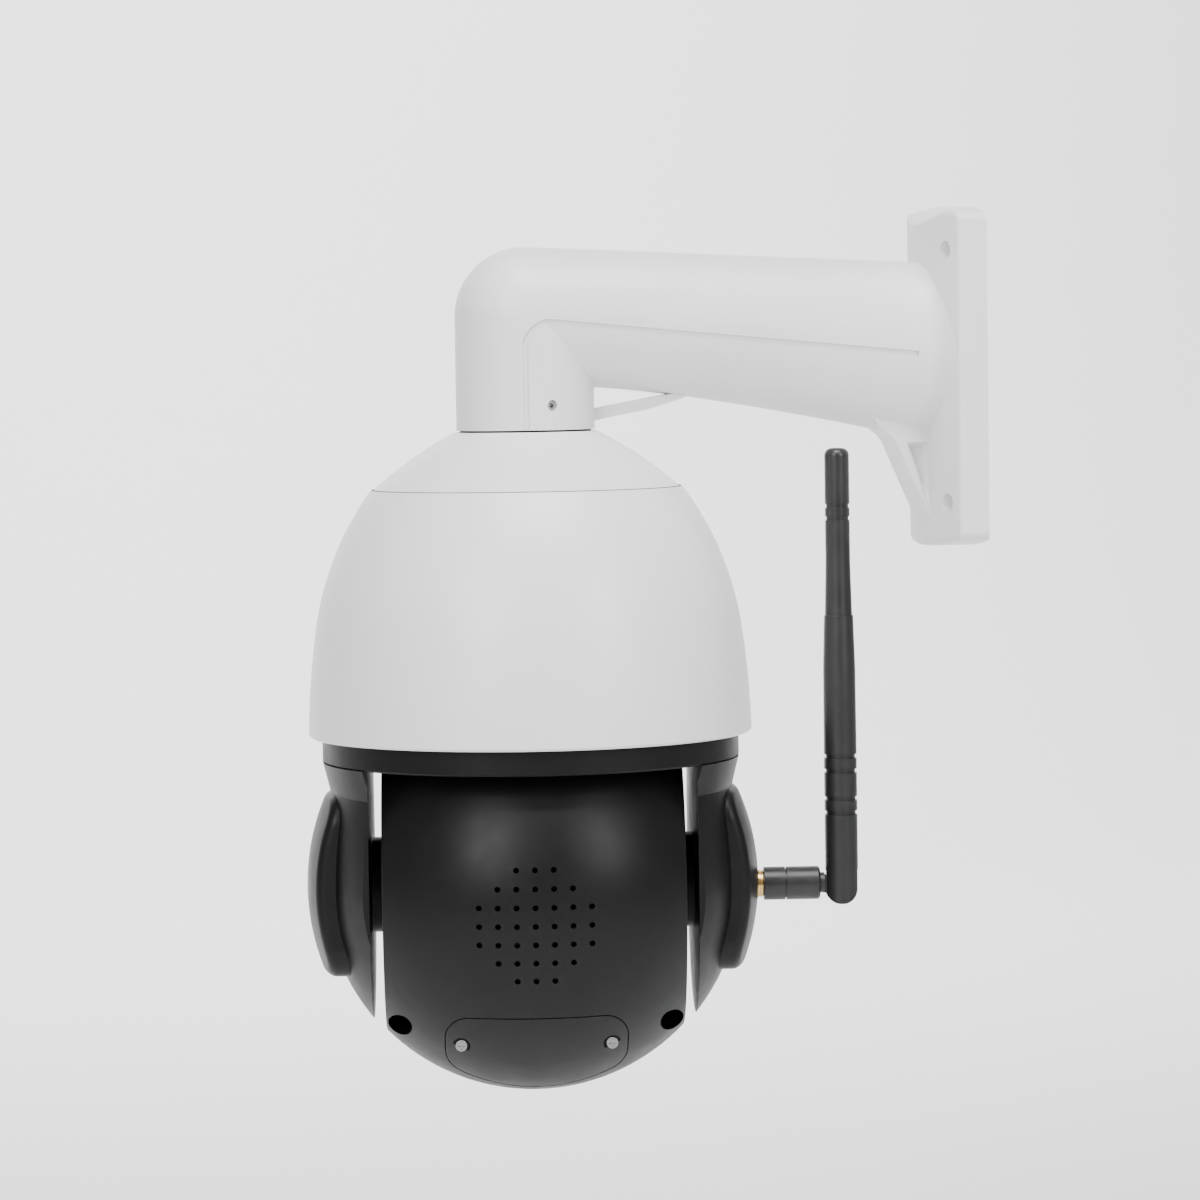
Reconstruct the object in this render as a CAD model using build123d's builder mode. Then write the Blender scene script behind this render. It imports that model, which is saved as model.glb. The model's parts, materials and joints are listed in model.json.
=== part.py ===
from build123d import *
import math
import os

# Pan-tilt-zoom camera hanging from an elbow wall bracket.
# Origin: centre of the wall plate's back face. +X points into the wall, +Z is up, the arm reaches along -X.
# The turning head is modelled about its own pan axis (x: tilt axis, +y: the way the lens looks), then moved.

# ---------------------------------------------------------------- driving dimensions (mm)
REACH = 190.0            # wall face to pan axis
HEAD_YAW = -9.5          # how far the head is turned at rest
GAP = 0.1                # clearance between fitted pieces

PLATE_HEIGHT = 144.0
PLATE_WIDTH = 80.0
PLATE_EDGE = 12.2
PLATE_RIDGE = 19.5
PLATE_SAGITTA = 3.5
PLATE_HOLE_R = 4.0
PLATE_HOLE_Y = 60.0
PLATE_HOLE_Z = 106.0

COLLAR_R = 29.0
COLLAR_BOTTOM = -19.4
ELBOW_Z = 28.0
BRACKET_WALL = 4.5
BORE_R = 23.6
GROOVE_WIDTH = 2.3
GROOVE_DEPTH = 1.0
STRUT_HALF = 5.0

# gusset rib: outline and side pocket as (x, z)
RIB_HALF = 13.0
POCKET_DEPTH = 5.0
RIB_OUTLINE = (
    (-REACH + 148, -18), (-REACH + 152.5, -22.6), (-REACH + 155.5, -24.8), (-REACH + 157.4, -27.6),
    (-REACH + 171.2, -59.0), (-5, -59.0), (-5, 0), (-REACH + 148, 0),
)
RIB_POCKET = ((-REACH + 161.6, -27.6), (-REACH + 171.6, -27.6), (-REACH + 171.6, -56.5))
# flare at the plate: x, extra half width
FLARE_STATIONS = ((-29.0, -0.5), (-25.0, 0.0), (-21.5, 0.9), (-18.5, 2.8), (-16.0, 5.4), (-13.5, 9.0))

CAP_TOP = -20.2
CAP_TOP_R = 30.0
SEAM_Z = -43.9
SEAM_R = 64.4
DOME_TOP_R = 65.5
RIM_Z = -146.8
RIM_R = 93.2
SHELL = 3.0

RING_R = 87.6
RING_BOTTOM = -157.3
BALL_Z = -210.0
BALL_R = 87.2
BALL_HALF = 62.3         # half the distance between the ball's flat sides
BALL_WALL = 2.7
SPLIT_Y = 24.0           # plane where the front shell meets the rear shell
DISH_R = 89.5
DISH_WALL = 3.0

EAR_IN = 67.7
EAR_FLOOR = 71.0
EAR_R = 88.0
EAR_HALF = 53.0
EAR_COVER_R = 95.0
EAR_COVER_TOP = 40.0
EAR_COVER_BOTTOM = -36.0
EAR_COVER_HALF = 32.0
EAR_COVER_WALL = 2.6
EAR_COVER_ROUND = 4.5

PAN_MODULE = 1.0
PAN_GEAR_TEETH = 90
PAN_PINION_TEETH = 18
TILT_MODULE = 0.8
TILT_GEAR_TEETH = 44
TILT_PINION_TEETH = 16

BASE_TOP = -101.0
BASE_THICK = 3.0
HUB_R = 16.0
HUB_TOP = -84.0
HUB_SEAT = -117.5
GEAR_THICK = 5.0
BOARD_Z = -66.0
BOARD_THICK = 1.6
TRUNNION_R = 20.0
TILT_SHAFT_R = 8.0

WINDOW_R = 46.0
FRONT_FACE = 72.0

SERVICE_HALF = 37.4
SERVICE_TOP = -47.5
SERVICE_FOOT = -82.3
SERVICE_HIP_RISE = 18.4
SERVICE_TOE_R = 12.0
SERVICE_THICK = 3.0
SCREW_X = 31.0
SCREW_Z = -60.7
POCKET_X = 56.3
POCKET_Z = -54.0
HOLE_PITCH = 7.6
SPEAKER_Z = -8.0
PRISM_START = 14.0       # the service cover's outline is cut from here backwards

AERIAL_Z = -212.7
AERIAL_PIN_X = 129.8
AERIAL_PIN_Z = -214.8
AERIAL_X = 130.6
WHIP_R = 6.95
WHIP_TOP = -29.2
KNUCKLE_R = 6.5

HEAD_PLACE = Location((-REACH, 0, 0), (0, 0, HEAD_YAW))
BALL_CENTRE = (0, 0, BALL_Z)
PAN_CENTRES = PAN_MODULE * (PAN_GEAR_TEETH + PAN_PINION_TEETH) / 2
TILT_CENTRES = TILT_MODULE * (TILT_GEAR_TEETH + TILT_PINION_TEETH) / 2


# ---------------------------------------------------------------- shared shapes
def disc(radius, low, high, hole=0.0, at=(0, 0), mode=Mode.ADD):
    """A round plate or tube between two heights."""
    with BuildSketch(Plane.XY.offset(low)) as face:
        with Locations(at):
            Circle(radius)
            if hole:
                Circle(hole, mode=Mode.SUBTRACT)
    extrude(face.sketch, amount=high - low, mode=mode)


def sideways(radius, start, end, hole=0.0, at=(0, BALL_Z), mode=Mode.ADD):
    """A round plate or tube along X, from start to end, centred at (y, z)."""
    with BuildSketch(Plane.YZ.offset(min(start, end))) as face:
        with Locations(at):
            Circle(radius)
            if hole:
                Circle(hole, mode=Mode.SUBTRACT)
    extrude(face.sketch, amount=abs(end - start), mode=mode)


def forward(radius, start, end, hole=0.0, at=(0, BALL_Z), mode=Mode.ADD):
    """A round plate or tube along Y, from start to end, centred at (x, z)."""
    with BuildSketch(Plane.XZ.offset(-end)) as face:
        with Locations(at):
            Circle(radius)
            if hole:
                Circle(hole, mode=Mode.SUBTRACT)
    extrude(face.sketch, amount=end - start, mode=mode)


def block(low, high, mode=Mode.ADD):
    """A box between two corners."""
    size = [b - a for a, b in zip(low, high)]
    middle = tuple((a + b) / 2 for a, b in zip(low, high))
    with Locations(middle):
        Box(*size, mode=mode)


def gear_face(module, teeth, turn=0.0):
    """A spur gear outline with stub involute teeth and a little backlash; one tooth points along local +x."""
    pitch_r = module * teeth / 2
    base_r = pitch_r * math.cos(math.radians(20))
    tip_r = pitch_r + 0.8 * module
    root_r = pitch_r - 1.1 * module
    backlash = 0.10 * module

    def involute(radius):
        return math.sqrt(max((radius / base_r) ** 2 - 1, 0)) - math.acos(min(base_r / radius, 1))

    half_at_pitch = math.pi / (2 * teeth) - backlash / pitch_r
    radii = [root_r - 0.4 * module, max(base_r, root_r), pitch_r, (pitch_r + tip_r) / 2, tip_r]
    halves = [half_at_pitch + involute(pitch_r) - involute(r) for r in radii]
    upper = [(r * math.cos(a), r * math.sin(a)) for r, a in zip(radii, halves)]
    lower = [(x, -y) for x, y in reversed(upper)]
    Circle(root_r)
    with PolarLocations(0, teeth, start_angle=turn):
        Polygon(*upper, *lower, align=None)


# ---------------------------------------------------------------- wall bracket
# distance from the pan axis, top height, underside height, half depth
ARM_STATIONS = (
    (0.0, ELBOW_Z + COLLAR_R, ELBOW_Z - COLLAR_R, COLLAR_R),
    (50.0, 54.7, -4.2, 27.6),
    (105.0, 52.0, -12.8, 26.6),
    (156.0, 49.5, -23.4, 27.0),
    (182.0, 48.2, -30.0, 28.5),
)


def arm_form(inset, end=182.0, mode=Mode.ADD):
    """Collar, ball-shaped elbow and tapering arm, all drawn in by an inset."""
    sections = []
    for distance, top, under, half in ARM_STATIONS:
        middle = Plane(origin=(distance - REACH, 0, (top + under) / 2), x_dir=(0, 1, 0), z_dir=(1, 0, 0))
        with BuildSketch(middle) as section:
            Ellipse(half - inset, (top - under) / 2 - inset)
        sections.append(section.sketch)
    loft(sections, mode=mode)
    with Locations((-REACH, 0, ELBOW_Z)):
        Sphere(COLLAR_R - inset, mode=mode)
    disc(COLLAR_R - inset, COLLAR_BOTTOM, ELBOW_Z, at=(-REACH, 0), mode=mode)


with BuildPart() as groove_skin:
    arm_form(0)
    arm_form(GROOVE_DEPTH, mode=Mode.SUBTRACT)
    with BuildSketch(Plane.XZ.offset(-40)) as groove_strip:
        with BuildLine():
            down = Line((-REACH - 4.5, COLLAR_BOTTOM - 1), (-REACH - 4.5, 17))
            along = Line((-REACH + 5, 25.4), (-REACH + 165, 9.7))
            RadiusArc(down @ 1, along @ 0, 11.5)
        trace(line_width=GROOVE_WIDTH)
    extrude(amount=80, mode=Mode.INTERSECT)

with BuildPart() as wall_bracket:
    # plate: an arched slab with shallow curved ends
    with BuildSketch(Plane.XY.offset(-PLATE_HEIGHT / 2)):
        with BuildLine():
            crown = ThreePointArc(
                (-PLATE_EDGE, -PLATE_WIDTH / 2), (-PLATE_RIDGE, 0), (-PLATE_EDGE, PLATE_WIDTH / 2)
            )
            Polyline(crown @ 1, (0, PLATE_WIDTH / 2), (0, -PLATE_WIDTH / 2), crown @ 0)
        make_face()
    extrude(amount=PLATE_HEIGHT)
    with BuildSketch(Plane.YZ.offset(-PLATE_RIDGE - 1)) as plate_outline:
        with BuildLine():
            corner = PLATE_HEIGHT / 2 - PLATE_SAGITTA
            top = ThreePointArc(
                (-PLATE_WIDTH / 2, corner), (0, PLATE_HEIGHT / 2), (PLATE_WIDTH / 2, corner)
            )
            bottom = ThreePointArc(
                (PLATE_WIDTH / 2, -corner), (0, -PLATE_HEIGHT / 2), (-PLATE_WIDTH / 2, -corner)
            )
            Line(top @ 1, bottom @ 0)
            Line(bottom @ 1, top @ 0)
        make_face()
        fillet(plate_outline.vertices(), 4.0)
    extrude(amount=PLATE_RIDGE + 1, mode=Mode.INTERSECT)
    fillet(wall_bracket.faces().filter_by(GeomType.CYLINDER).sort_by(Axis.X)[0].edges(), 2.5)
    # the ridge rolls back at the top of the plate
    with BuildSketch(Plane.XZ.offset(-PLATE_WIDTH)):
        with BuildLine():
            roll = ThreePointArc((-6, PLATE_HEIGHT / 2 + 1), (-13.5, 70.6), (-21.0, 61.4))
            Polyline(
                roll @ 1, (-21.0, -PLATE_HEIGHT), (1, -PLATE_HEIGHT), (1, PLATE_HEIGHT / 2 + 1), roll @ 0,
            )
        make_face()
    extrude(amount=2 * PLATE_WIDTH, mode=Mode.INTERSECT)
    # gusset rib under the arm, with a drafted pocket in each side
    with BuildSketch(Plane.XZ.offset(-RIB_HALF)):
        with BuildLine():
            Polyline(*RIB_OUTLINE, close=True)
        make_face()
    extrude(amount=2 * RIB_HALF)
    for side in (-1, 1):
        with BuildSketch(Plane.XZ.offset(side * RIB_HALF)) as pocket:
            with BuildLine():
                Polyline(*RIB_POCKET, close=True)
            make_face()
            fillet(pocket.vertices(), 0.8)
        extrude(amount=-side * POCKET_DEPTH, taper=24, mode=Mode.SUBTRACT)
    # arm, elbow and collar, with a flare where the arm runs into the plate
    arm_form(0)
    flare = []
    near_x, near_top, near_under, near_half = -34.0, 49.2, -23.1, 27.0
    for x, grow in FLARE_STATIONS:
        share = (x - near_x) / 26
        top = near_top - 1.3 * share
        under = near_under - 6.6 * share
        middle = Plane(origin=(x, 0, (top + under) / 2), x_dir=(0, 1, 0), z_dir=(1, 0, 0))
        with BuildSketch(middle) as section:
            Ellipse(near_half + 1.5 * share + grow, (top - under) / 2)
        flare.append(section.sketch)
    loft(flare)
    # strut that closes the lanyard eye beside the collar
    with BuildSketch(Plane.XZ.offset(-STRUT_HALF)):
        with BuildLine():
            Polyline(
                (-REACH + 26, -11.6), (-REACH + 57, -6.2), (-REACH + 70, -4.0),
                (-REACH + 67, -7.2), (-REACH + 53, -11.4), (-REACH + 26, -16.6), close=True,
            )
        make_face()
    extrude(amount=2 * STRUT_HALF)
    # hollow: cable duct from the plate through the arm to the collar
    arm_form(BRACKET_WALL, mode=Mode.SUBTRACT)
    disc(BORE_R, COLLAR_BOTTOM - 1, ELBOW_Z, at=(-REACH, 0), mode=Mode.SUBTRACT)
    block((-9, -22, -58), (1, 22, 44), Mode.SUBTRACT)
    # wall bolt holes
    with BuildSketch(Plane.YZ.offset(-PLATE_RIDGE - 5)):
        with GridLocations(PLATE_HOLE_Y, PLATE_HOLE_Z, 2, 2):
            Circle(PLATE_HOLE_R)
    extrude(amount=PLATE_RIDGE + 10, mode=Mode.SUBTRACT)
    # surface groove and set screw hole
    add(groove_skin.part, mode=Mode.SUBTRACT)
    screw_plane = Plane(origin=(-REACH, 0, -9.2), x_dir=(0.97437, 0.22495, 0), z_dir=(0.22495, -0.97437, 0))
    with BuildSketch(screw_plane.offset(BORE_R - 2)):
        Circle(2.25)
    extrude(amount=12, mode=Mode.SUBTRACT)

with BuildPart() as bracket_set_screw:
    with BuildSketch(screw_plane.offset(BORE_R + GAP)):
        Circle(2.15)
    extrude(amount=4)
    with BuildSketch(screw_plane.offset(BORE_R + 2.3)):
        RegularPolygon(1.1, 6)
    extrude(amount=2, mode=Mode.SUBTRACT)


# ---------------------------------------------------------------- neck, cap and dome
with BuildPart() as neck_adapter:
    disc(23.5, CAP_TOP, 8, hole=15)
    for step in range(5):
        disc(24, -3 * step - 3, -3 * step - 2, hole=22.6, mode=Mode.SUBTRACT)
    disc(20.3, -32, CAP_TOP, hole=15)

with BuildPart() as neck_gasket:
    disc(27.5, CAP_TOP, COLLAR_BOTTOM, hole=23.5)

with BuildPart() as neck_nut:
    with BuildSketch(Plane.XY.offset(-30)):
        RegularPolygon(27, 6)
        Circle(20.3, mode=Mode.SUBTRACT)
    extrude(amount=6)

with BuildPart() as cap_shell:
    with BuildSketch(Plane.XZ):
        with BuildLine():
            outer = ThreePointArc((CAP_TOP_R, CAP_TOP), (48.5, -31.3), (SEAM_R, SEAM_Z))
            Polyline(
                outer @ 1, (SEAM_R - 5, SEAM_Z), (46.0, CAP_TOP - 15.2), (29.0, CAP_TOP - 3.8),
                (20.4, CAP_TOP - 3.8), (20.4, CAP_TOP), outer @ 0,
            )
        make_face()
    revolve(axis=Axis.Z)
    with PolarLocations(50, 3, start_angle=30):
        with Locations((0, 0, SEAM_Z + 3)):
            Cylinder(4.0, 6)
            Cylinder(1.5, 6, mode=Mode.SUBTRACT)

with BuildPart() as dome_shell:
    with BuildSketch(Plane.XZ):
        with BuildLine():
            shoulder = ThreePointArc((DOME_TOP_R, SEAM_Z), (80.4, -69.8), (89.6, -103))
            skirt = ThreePointArc((89.6, -103), (92.3, -127.4), (RIM_R, RIM_Z))
            back_skirt = ThreePointArc((RIM_R - SHELL, RIM_Z), (92.3 - SHELL, -127.4), (89.6 - SHELL, -103))
            back_shoulder = ThreePointArc((89.6 - SHELL, -103), (77.9, -71), (64.4, SEAM_Z - SHELL))
            Line(skirt @ 1, back_skirt @ 0)
            Polyline(back_shoulder @ 1, (44, SEAM_Z - SHELL), (44, SEAM_Z), shoulder @ 0)
        make_face()
    revolve(axis=Axis.Z)
    rim_edges = dome_shell.edges().filter_by(GeomType.CIRCLE).group_by(Axis.Z)[0]
    chamfer(rim_edges.sort_by(SortBy.RADIUS)[-1], 1.0)
    # ledge that carries the base plate
    disc(88.0, BASE_TOP, BASE_TOP + 4, hole=79)
    # groove for the seal, and screw holes
    disc(60, SEAM_Z - 1.5, SEAM_Z, hole=57, mode=Mode.SUBTRACT)
    with BuildSketch(Plane.XY.offset(SEAM_Z - SHELL - 1)):
        with PolarLocations(50, 3, start_angle=30):
            Circle(1.7)
    extrude(amount=SHELL + 2, mode=Mode.SUBTRACT)
    with BuildSketch(Plane.XY.offset(BASE_TOP - 1)):
        with PolarLocations(82, 4, start_angle=45):
            Circle(1.5)
    extrude(amount=6, mode=Mode.SUBTRACT)

with BuildPart() as shell_seal:
    disc(59.9, SEAM_Z - 1.5, SEAM_Z, hole=57.1)


def screw_group(radius, count, turn, head_z, up, head_r=2.8, shank_r=1.5, length=8.0, head=2.0):
    """Pan-head screws on a circle; up is +1 when the shank points up from the head."""
    with PolarLocations(radius, count, start_angle=turn):
        with Locations((0, 0, head_z - up * head / 2)):
            Cylinder(head_r, head)
        with Locations((0, 0, head_z + up * length / 2)):
            Cylinder(shank_r, length)
        with Locations((0, 0, head_z - up * (head - 0.4))):
            Box(0.7, 3.0, 1.2, mode=Mode.SUBTRACT)
            Box(3.0, 0.7, 1.2, mode=Mode.SUBTRACT)


with BuildPart() as cap_screws:
    screw_group(50, 3, 30, SEAM_Z - SHELL, 1, length=7.5)

with BuildPart() as base_plate:
    disc(85.5, BASE_TOP - BASE_THICK, BASE_TOP, hole=24)
    disc(28, BASE_TOP, BASE_TOP + 4, hole=24)
    with BuildSketch(Plane.XY.offset(BASE_TOP - BASE_THICK)):
        with PolarLocations(82, 4, start_angle=45):
            Circle(1.5)
        with Locations((PAN_CENTRES, 0)):
            Circle(6)
        with PolarLocations(58, 5, start_angle=60, angular_range=240, endpoint=True):
            SlotOverall(24, 10, rotation=90)
    extrude(amount=BASE_THICK, mode=Mode.SUBTRACT)

with BuildPart() as base_screws:
    screw_group(82, 4, 45, BASE_TOP - BASE_THICK, 1, length=6.5)

with BuildPart() as pan_motor:
    disc(17.5, BASE_TOP, BASE_TOP + 24, at=(PAN_CENTRES, 0))
    disc(5.9, BASE_TOP - 2.5, BASE_TOP, at=(PAN_CENTRES, 0))
    with BuildSketch(Plane.XY.offset(BASE_TOP)):
        with Locations((PAN_CENTRES, 0)):
            SlotOverall(49, 8, rotation=90)
            with Locations((0, 21), (0, -21)):
                Circle(1.6, mode=Mode.SUBTRACT)
    extrude(amount=1.2)
    disc(2.56, BASE_TOP - 3, BASE_TOP + 12, at=(PAN_CENTRES, 0), mode=Mode.SUBTRACT)

with BuildPart() as pan_pinion:
    with BuildSketch(Plane.XY.offset(HUB_SEAT + 2.6)):
        with Locations((PAN_CENTRES, 0)):
            gear_face(PAN_MODULE, PAN_PINION_TEETH, turn=10)
    extrude(amount=6)
    disc(2.5, HUB_SEAT + 8.6, BASE_TOP + 8, at=(PAN_CENTRES, 0))

with BuildPart() as pan_bearing_outer:
    disc(24, BASE_TOP - BASE_THICK, BASE_TOP + 4, hole=21.2)
    with Locations((0, 0, BASE_TOP + 0.5)):
        Torus(20, 1.9, mode=Mode.SUBTRACT)

with BuildPart() as main_board:
    disc(60, BOARD_Z, BOARD_Z + BOARD_THICK, hole=8)
    block((18, -22, BOARD_Z + BOARD_THICK), (36, -4, BOARD_Z + 4))
    block((-40, 14, BOARD_Z + BOARD_THICK), (-22, 28, BOARD_Z + 12))
    block((-34, -30, BOARD_Z + BOARD_THICK), (-18, -18, BOARD_Z + 9))
    block((12, 24, BOARD_Z + BOARD_THICK), (40, 32, BOARD_Z + 10))
    with BuildSketch(Plane.XY.offset(BOARD_Z - 1)):
        with PolarLocations(54, 4, start_angle=45):
            Circle(1.4)
    extrude(amount=4, mode=Mode.SUBTRACT)

with BuildPart() as board_standoffs:
    with BuildSketch(Plane.XY.offset(BASE_TOP)):
        with PolarLocations(54, 4, start_angle=45):
            RegularPolygon(3.2, 6)
    extrude(amount=BOARD_Z - BASE_TOP)
    with BuildSketch(Plane.XY.offset(BOARD_Z)):
        with PolarLocations(54, 4, start_angle=45):
            Circle(1.35)
    extrude(amount=3.5)

with BuildPart() as slip_ring_stator:
    disc(12, HUB_TOP + 2, BOARD_Z, hole=6.1)
    disc(15, BOARD_Z - 2, BOARD_Z, hole=8)


# ---------------------------------------------------------------- turning head
with BuildPart() as pan_hub:
    disc(28, HUB_SEAT, HUB_SEAT + 3, hole=10)
    disc(HUB_R, HUB_SEAT, HUB_TOP, hole=10)
    with BuildSketch(Plane.XY.offset(HUB_SEAT)):
        with PolarLocations(23, 3, start_angle=90):
            Circle(1.6)
    extrude(amount=3, mode=Mode.SUBTRACT)

with BuildPart() as pan_gear:
    with BuildSketch(Plane.XY.offset(HUB_SEAT + 3)):
        gear_face(PAN_MODULE, PAN_GEAR_TEETH)
        Circle(HUB_R, mode=Mode.SUBTRACT)
        with PolarLocations(31, 6, start_angle=30):
            SlotOverall(14, 9, rotation=90, mode=Mode.SUBTRACT)
        with PolarLocations(23, 3, start_angle=90 + HEAD_YAW):
            Circle(3.2, mode=Mode.SUBTRACT)
    extrude(amount=GEAR_THICK)

with BuildPart() as pan_bearing_inner:
    disc(18.8, BASE_TOP - BASE_THICK, BASE_TOP + 4, hole=HUB_R)
    with Locations((0, 0, BASE_TOP + 0.5)):
        Torus(20, 1.75, mode=Mode.SUBTRACT)

with BuildPart() as pan_bearing_balls:
    with PolarLocations(20, 16):
        with Locations((0, 0, BASE_TOP + 0.5)):
            Sphere(1.75)

with BuildPart() as slip_ring_rotor:
    disc(10, HUB_TOP - 14, HUB_TOP)
    disc(6, HUB_TOP, BOARD_Z - 2)

with BuildPart() as hub_screws:
    screw_group(23, 3, 90, HUB_SEAT + 3, -1, length=5.0)


def ear_solid():
    """The outer form of both ears: a band of revolution that turns into the ball's own curve below."""
    with BuildSketch(Plane.XZ) as profile:
        with BuildLine():
            drop = RING_BOTTOM
            neck = Line((RING_R, drop), (84.5, BALL_Z + EAR_COVER_TOP))
            side = ThreePointArc(neck @ 1, (87.1, BALL_Z + 20), (EAR_R, BALL_Z))
            middle = math.radians(-24)
            under = ThreePointArc(
                side @ 1,
                (EAR_R * math.cos(middle), BALL_Z + EAR_R * math.sin(middle)),
                (EAR_IN - 2, BALL_Z - math.sqrt(EAR_R ** 2 - (EAR_IN - 2) ** 2)),
            )
            Polyline(under @ 1, (EAR_IN - 12, (under @ 1).Y), (EAR_IN - 12, drop), neck @ 0)
        make_face()
    revolve(profile.sketch, axis=Axis.Z)


def ear_window(grow):
    """The rounded rectangle of the ear covers, in the plane of the ear."""
    with Locations((0, BALL_Z + (EAR_COVER_TOP + EAR_COVER_BOTTOM) / 2)):
        RectangleRounded(2 * (EAR_COVER_HALF + grow), EAR_COVER_TOP - EAR_COVER_BOTTOM + 2 * grow, 13 + grow)


with BuildPart() as ear_pair:
    ear_solid()
    block((-EAR_IN, -120, -300), (EAR_IN, 120, -100), Mode.SUBTRACT)
    block((-120, EAR_HALF, -300), (120, 120, -100), Mode.SUBTRACT)
    block((-120, -120, -300), (120, -EAR_HALF, -100), Mode.SUBTRACT)

with BuildPart() as yoke_frame:
    with BuildSketch(Plane.XZ):
        with BuildLine():
            mouth_r = math.sqrt(DISH_R ** 2 - (RING_BOTTOM - BALL_Z) ** 2)
            seat_r = math.sqrt((DISH_R + DISH_WALL) ** 2 - (-153.5 - BALL_Z) ** 2)
            inner_top = math.sqrt(DISH_R ** 2 - 10 ** 2)
            outer_top = math.sqrt((DISH_R + DISH_WALL) ** 2 - 27 ** 2)
            slant = math.radians(55)
            sweep_in = ThreePointArc(
                (10, BALL_Z + inner_top),
                (DISH_R * math.cos(slant), BALL_Z + DISH_R * math.sin(slant)),
                (mouth_r, RING_BOTTOM),
            )
            sweep_out = ThreePointArc(
                (seat_r, -153.5),
                ((DISH_R + DISH_WALL) * math.cos(slant), BALL_Z + (DISH_R + DISH_WALL) * math.sin(slant)),
                (27, BALL_Z + outer_top),
            )
            Polyline(
                sweep_in @ 1, (RING_R, RING_BOTTOM), (RING_R, -138), (RING_R - 3, -138),
                (RING_R - 3, -153.5), sweep_out @ 0,
            )
            Polyline(sweep_out @ 1, (27, HUB_SEAT), (10, HUB_SEAT), sweep_in @ 0)
        make_face()
    revolve(axis=Axis.Z)
    chamfer(yoke_frame.edges().filter_by(GeomType.CIRCLE).group_by(Axis.Z)[0].sort_by(SortBy.RADIUS)[-1], 0.8)
    add(ear_pair.part)
    # pockets for the tilt drive and the aerial socket
    for side in (-1, 1):
        with BuildSketch(Plane.YZ.offset(min(side * EAR_FLOOR, side * 110))):
            ear_window(-EAR_COVER_WALL - 0.4)
        extrude(amount=110 - EAR_FLOOR, mode=Mode.SUBTRACT)
        sideways(12, side * (EAR_IN - 1), side * (EAR_FLOOR + 1), mode=Mode.SUBTRACT)
    with BuildSketch(Plane.XY.offset(HUB_SEAT - 6)):
        with PolarLocations(23, 3, start_angle=90):
            Circle(1.5)
    extrude(amount=7, mode=Mode.SUBTRACT)

with BuildPart() as ear_core:
    ear_solid()

with BuildPart() as cover_hollow:
    for side in (-1, 1):
        with BuildSketch(Plane.YZ.offset(min(side * 70, side * 100))):
            ear_window(-EAR_COVER_WALL)
        extrude(amount=30)
    with Locations(BALL_CENTRE):
        Sphere(EAR_COVER_R - EAR_COVER_WALL, mode=Mode.INTERSECT)

# raised covers on the ears
ear_covers = {}
for name, side in (("left_ear_cover", -1), ("right_ear_cover", 1)):
    with BuildPart() as ear_cover:
        with BuildSketch(Plane.YZ.offset(min(side * 74, side * 100))):
            ear_window(0)
        extrude(amount=26)
        with Locations(BALL_CENTRE):
            Sphere(EAR_COVER_R, mode=Mode.INTERSECT)
        outer_face = ear_cover.faces().filter_by(GeomType.SPHERE)[0]
        fillet(outer_face.edges(), EAR_COVER_ROUND)
        add(ear_core.part, mode=Mode.SUBTRACT)
        add(cover_hollow.part, mode=Mode.SUBTRACT)
        if side > 0:
            sideways(4.3, 80, 100, at=(0, AERIAL_Z), mode=Mode.SUBTRACT)
            sideways(7.2, 94.3, 100, at=(0, AERIAL_Z), mode=Mode.SUBTRACT)
    ear_covers[name] = ear_cover

with BuildPart() as tilt_bushes:
    for side in (-1, 1):
        sideways(12, side * EAR_IN, side * (EAR_FLOOR + 1.5), hole=TILT_SHAFT_R + 0.05)
        sideways(14, side * EAR_FLOOR, side * (EAR_FLOOR + 1.5), hole=TILT_SHAFT_R + 0.05)

with BuildPart() as tilt_motor:
    motor_at = (0, BALL_Z + TILT_CENTRES)
    sideways(7.5, -82, -EAR_FLOOR, at=motor_at)
    with BuildSketch(Plane.YZ.offset(-EAR_FLOOR - 1)):
        with Locations(motor_at):
            SlotOverall(24, 6)
            with Locations((9, 0), (-9, 0)):
                Circle(1.1, mode=Mode.SUBTRACT)
    extrude(amount=1)
    sideways(1.56, -83, -74, at=motor_at, mode=Mode.SUBTRACT)

with BuildPart() as tilt_pinion:
    with BuildSketch(Plane.YZ.offset(-86.6)):
        with Locations(motor_at):
            gear_face(TILT_MODULE, TILT_PINION_TEETH, turn=-90 + 180 / TILT_PINION_TEETH)
    extrude(amount=3.6)
    sideways(1.5, -83, -76, at=motor_at)

with BuildPart() as antenna_jack:
    with BuildSketch(Plane.YZ.offset(88.0)):
        with Locations((0, AERIAL_Z)):
            RegularPolygon(6.5, 6)
    extrude(amount=3.6)
    sideways(4.2, 91.6, 97.2, at=(0, AERIAL_Z))
    sideways(3.17, 97.2, 102.5, at=(0, AERIAL_Z))
    sideways(2.2, 80, 88, at=(0, AERIAL_Z))
    sideways(0.6, 101, 103, at=(0, AERIAL_Z), mode=Mode.SUBTRACT)

with BuildPart() as jack_washer:
    sideways(6.4, 94.35, 94.85, hole=4.25, at=(0, AERIAL_Z))

with BuildPart() as jack_nut:
    with BuildSketch(Plane.YZ.offset(94.85)):
        with Locations((0, AERIAL_Z)):
            RegularPolygon(6.0, 6)
            Circle(5.75, mode=Mode.INTERSECT)
            Circle(4.2, mode=Mode.SUBTRACT)
    extrude(amount=2.35)


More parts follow.
